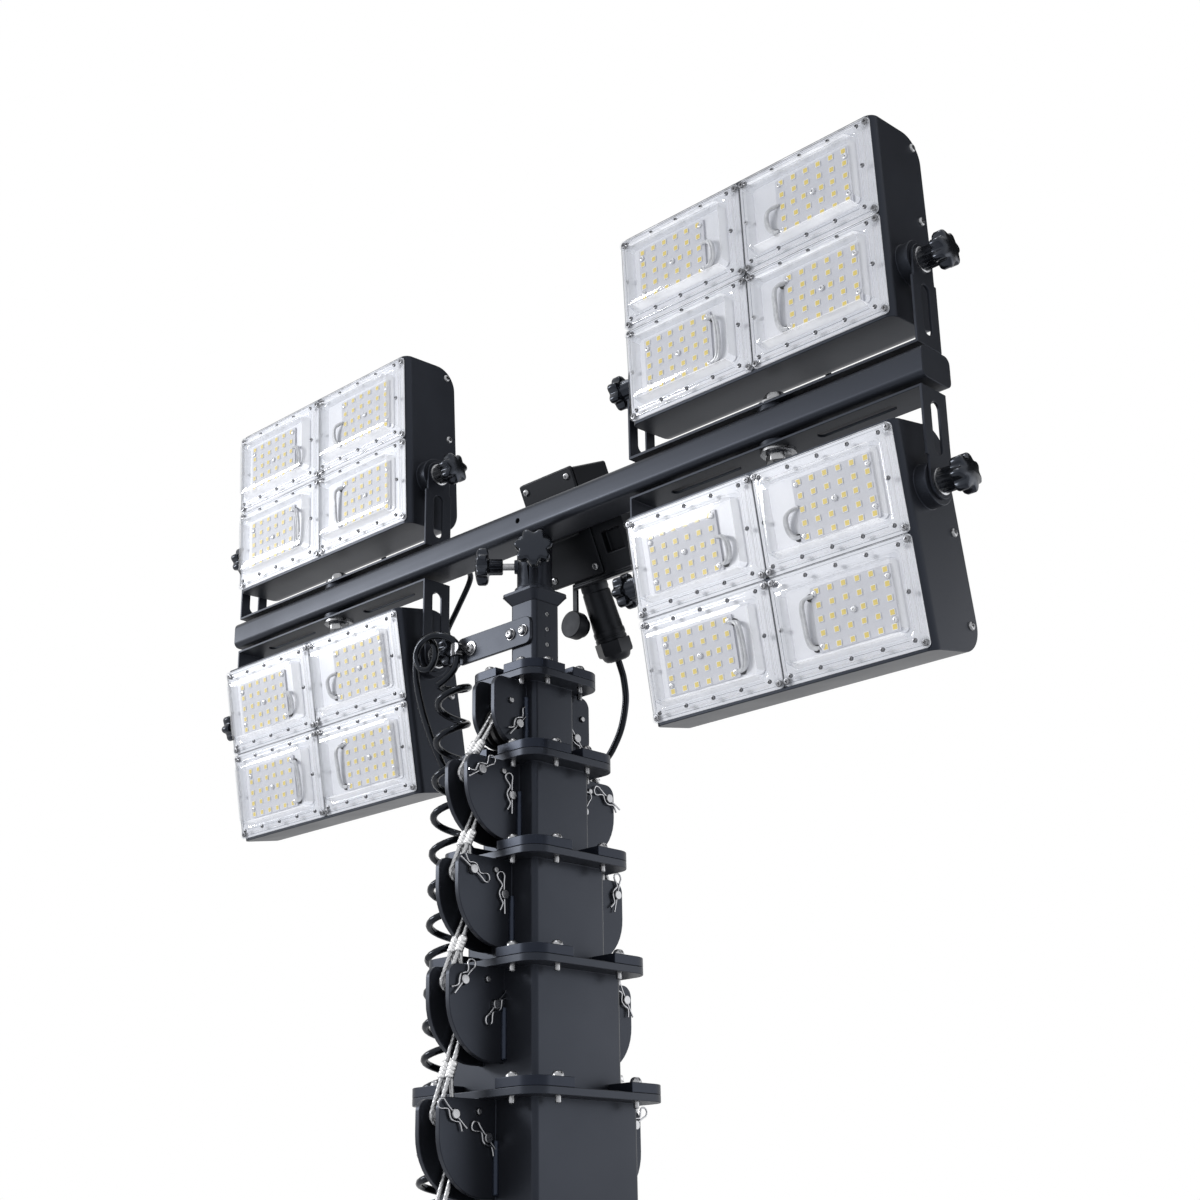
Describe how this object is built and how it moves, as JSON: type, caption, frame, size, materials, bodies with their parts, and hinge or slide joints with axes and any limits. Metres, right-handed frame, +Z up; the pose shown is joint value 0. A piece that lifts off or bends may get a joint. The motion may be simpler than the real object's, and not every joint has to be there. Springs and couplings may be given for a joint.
{
  "type": "telescopic light mast",
  "caption": "Square telescopic mast with rope sheaves, a crossbar head and tilting LED floodlights, standing on a bolted foot plate.",
  "frame": {"origin": "middle of the foot plate's lower face", "axes": "+Z up along the mast, +X along the crossbar, the lamps face -Y"},
  "size_m": [1.1586, 0.306, 2.541],
  "materials": {
    "black_paint": "black satin powder coat",
    "guide_plastic": "black sliding plastic",
    "sheave_plastic": "black nylon",
    "zinc_steel": "zinc plated steel",
    "wire_rope": "galvanised strand",
    "knob_plastic": "black moulded plastic",
    "box_plastic": "black fine texture",
    "rubber": "black rubber",
    "curly_cord_sheath": "glossy black polyurethane",
    "clear_lens": "clear moulded polycarbonate"
  },
  "bodies": {
    "base": {"foot": "black_paint", "base_tube": "black_paint", "base_guides": "guide_plastic", "base_pins": "zinc_steel", "curly_cord": "curly_cord_sheath", "cord_shelf": "black_paint"},
    "section_6": {"section_6_tube": "black_paint", "section_6_guides": "guide_plastic", "section_6_sheaves": "sheave_plastic", "section_6_pins": "zinc_steel", "rope_6": "wire_rope"},
    "section_5": {"section_5_tube": "black_paint", "section_5_guides": "guide_plastic", "section_5_sheaves": "sheave_plastic", "section_5_pins": "zinc_steel", "rope_5": "wire_rope"},
    "section_4": {"section_4_tube": "black_paint", "section_4_guides": "guide_plastic", "section_4_sheaves": "sheave_plastic", "section_4_pins": "zinc_steel", "rope_4": "wire_rope"},
    "section_3": {"section_3_tube": "black_paint", "section_3_guides": "guide_plastic", "section_3_sheaves": "sheave_plastic", "section_3_pins": "zinc_steel", "rope_3": "wire_rope"},
    "section_2": {"section_2_tube": "black_paint", "section_2_guides": "guide_plastic", "section_2_sheaves": "sheave_plastic", "section_2_pins": "zinc_steel", "rope_2": "wire_rope"},
    "section_1": {"section_1_tube": "black_paint", "spigot_cap": "black_paint", "cable_arm": "black_paint", "cable_clip": "zinc_steel"},
    "head": {"head_sleeve": "black_paint", "head_knobs": "knob_plastic", "crossbar": "black_paint", "junction_box": "box_plastic", "socket_housing": "box_plastic", "lead_plug": "box_plastic", "socket_cap": "rubber", "bracket_upper_left": "black_paint", "bracket_upper_right": "black_paint", "bracket_lower_left": "black_paint", "bracket_lower_right": "black_paint", "tilt_knobs": "knob_plastic", "lead": "rubber", "lamp_lead_upper_left": "rubber", "lamp_lead_upper_right": "rubber", "lamp_lead_lower_left": "rubber", "lamp_lead_lower_right": "rubber"},
    "lamp_upper_left": {"lamp_upper_left_housing": "black_paint", "lamp_upper_left_lenses": "clear_lens"},
    "lamp_upper_right": {"lamp_upper_right_housing": "black_paint", "lamp_upper_right_lenses": "clear_lens"},
    "lamp_lower_left": {"lamp_lower_left_housing": "black_paint", "lamp_lower_left_lenses": "clear_lens"},
    "lamp_lower_right": {"lamp_lower_right_housing": "black_paint", "lamp_lower_right_lenses": "clear_lens"}
  },
  "joints": [
    {"name": "section_6_slide", "type": "slide", "parent": "base", "child": "section_6", "axis": [0, 0, 1], "range_m": [0, 1.15], "deforming": ["rope_6", "curly_cord"]},
    {"name": "section_5_slide", "type": "slide", "parent": "section_6", "child": "section_5", "axis": [0, 0, 1], "range_m": [0, 1.15], "deforming": ["rope_5"]},
    {"name": "section_4_slide", "type": "slide", "parent": "section_5", "child": "section_4", "axis": [0, 0, 1], "range_m": [0, 1.15], "deforming": ["rope_4"]},
    {"name": "section_3_slide", "type": "slide", "parent": "section_4", "child": "section_3", "axis": [0, 0, 1], "range_m": [0, 1.15], "deforming": ["rope_3"]},
    {"name": "section_2_slide", "type": "slide", "parent": "section_3", "child": "section_2", "axis": [0, 0, 1], "range_m": [0, 1.15], "deforming": ["rope_2"]},
    {"name": "section_1_slide", "type": "slide", "parent": "section_2", "child": "section_1", "axis": [0, 0, 1], "range_m": [0, 1.15]},
    {"name": "head_turn", "type": "hinge", "parent": "section_1", "child": "head", "pos_m": [0, 0, 2.214], "axis": [0, 0, 1], "range_deg": [-45, 45], "deforming": ["lead"]},
    {"name": "lamp_upper_left_tilt", "type": "hinge", "parent": "head", "child": "lamp_upper_left", "pos_m": [-0.357, 0, 2.382], "axis": [1, 0, 0], "range_deg": [-30, 45], "deforming": ["lamp_lead_upper_left"]},
    {"name": "lamp_upper_right_tilt", "type": "hinge", "parent": "head", "child": "lamp_upper_right", "pos_m": [0.357, 0, 2.382], "axis": [1, 0, 0], "range_deg": [-30, 45], "deforming": ["lamp_lead_upper_right"]},
    {"name": "lamp_lower_left_tilt", "type": "hinge", "parent": "head", "child": "lamp_lower_left", "pos_m": [-0.357, 0, 2.146], "axis": [1, 0, 0], "range_deg": [-30, 45], "deforming": ["lamp_lead_lower_left"]},
    {"name": "lamp_lower_right_tilt", "type": "hinge", "parent": "head", "child": "lamp_lower_right", "pos_m": [0.357, 0, 2.146], "axis": [1, 0, 0], "range_deg": [-30, 45], "deforming": ["lamp_lead_lower_right"]}
  ],
  "couplings": [
    {"joint": "section_5_slide", "follows": "section_6_slide", "ratio": 1},
    {"joint": "section_4_slide", "follows": "section_6_slide", "ratio": 1},
    {"joint": "section_3_slide", "follows": "section_6_slide", "ratio": 1},
    {"joint": "section_2_slide", "follows": "section_6_slide", "ratio": 1},
    {"joint": "section_1_slide", "follows": "section_6_slide", "ratio": 1}
  ]
}
